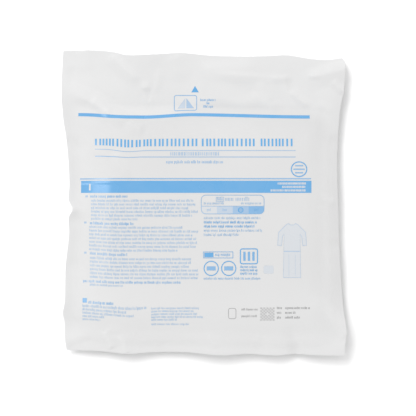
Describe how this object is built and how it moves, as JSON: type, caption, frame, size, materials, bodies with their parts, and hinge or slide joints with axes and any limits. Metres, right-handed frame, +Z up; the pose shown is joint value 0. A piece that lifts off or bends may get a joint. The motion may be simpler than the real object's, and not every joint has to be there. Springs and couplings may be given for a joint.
{
  "type": "sealed peel pouch with folded surgical gown",
  "caption": "Flat white film pouch, heat sealed all round and swollen by the folded gown inside, with free peel flaps along its head; shown lying on its back.",
  "frame": {"origin": "middle of the pack's box on the surface it lies on", "axes": "+Z up through the printed front, +Y towards the peel flaps at the head, +X to the right as the print is read"},
  "size_m": [0.2845, 0.3053, 0.027],
  "materials": {
    "front_film": "satin white polyethylene film, printed in pale blue",
    "back_film": "satin white polyethylene film, unprinted",
    "blue_nonwoven": "matt blue bonded nonwoven"
  },
  "bodies": {
    "root": {"front_web": "front_film", "back_web": "back_film", "folded_gown": "blue_nonwoven"}
  },
  "joints": []
}
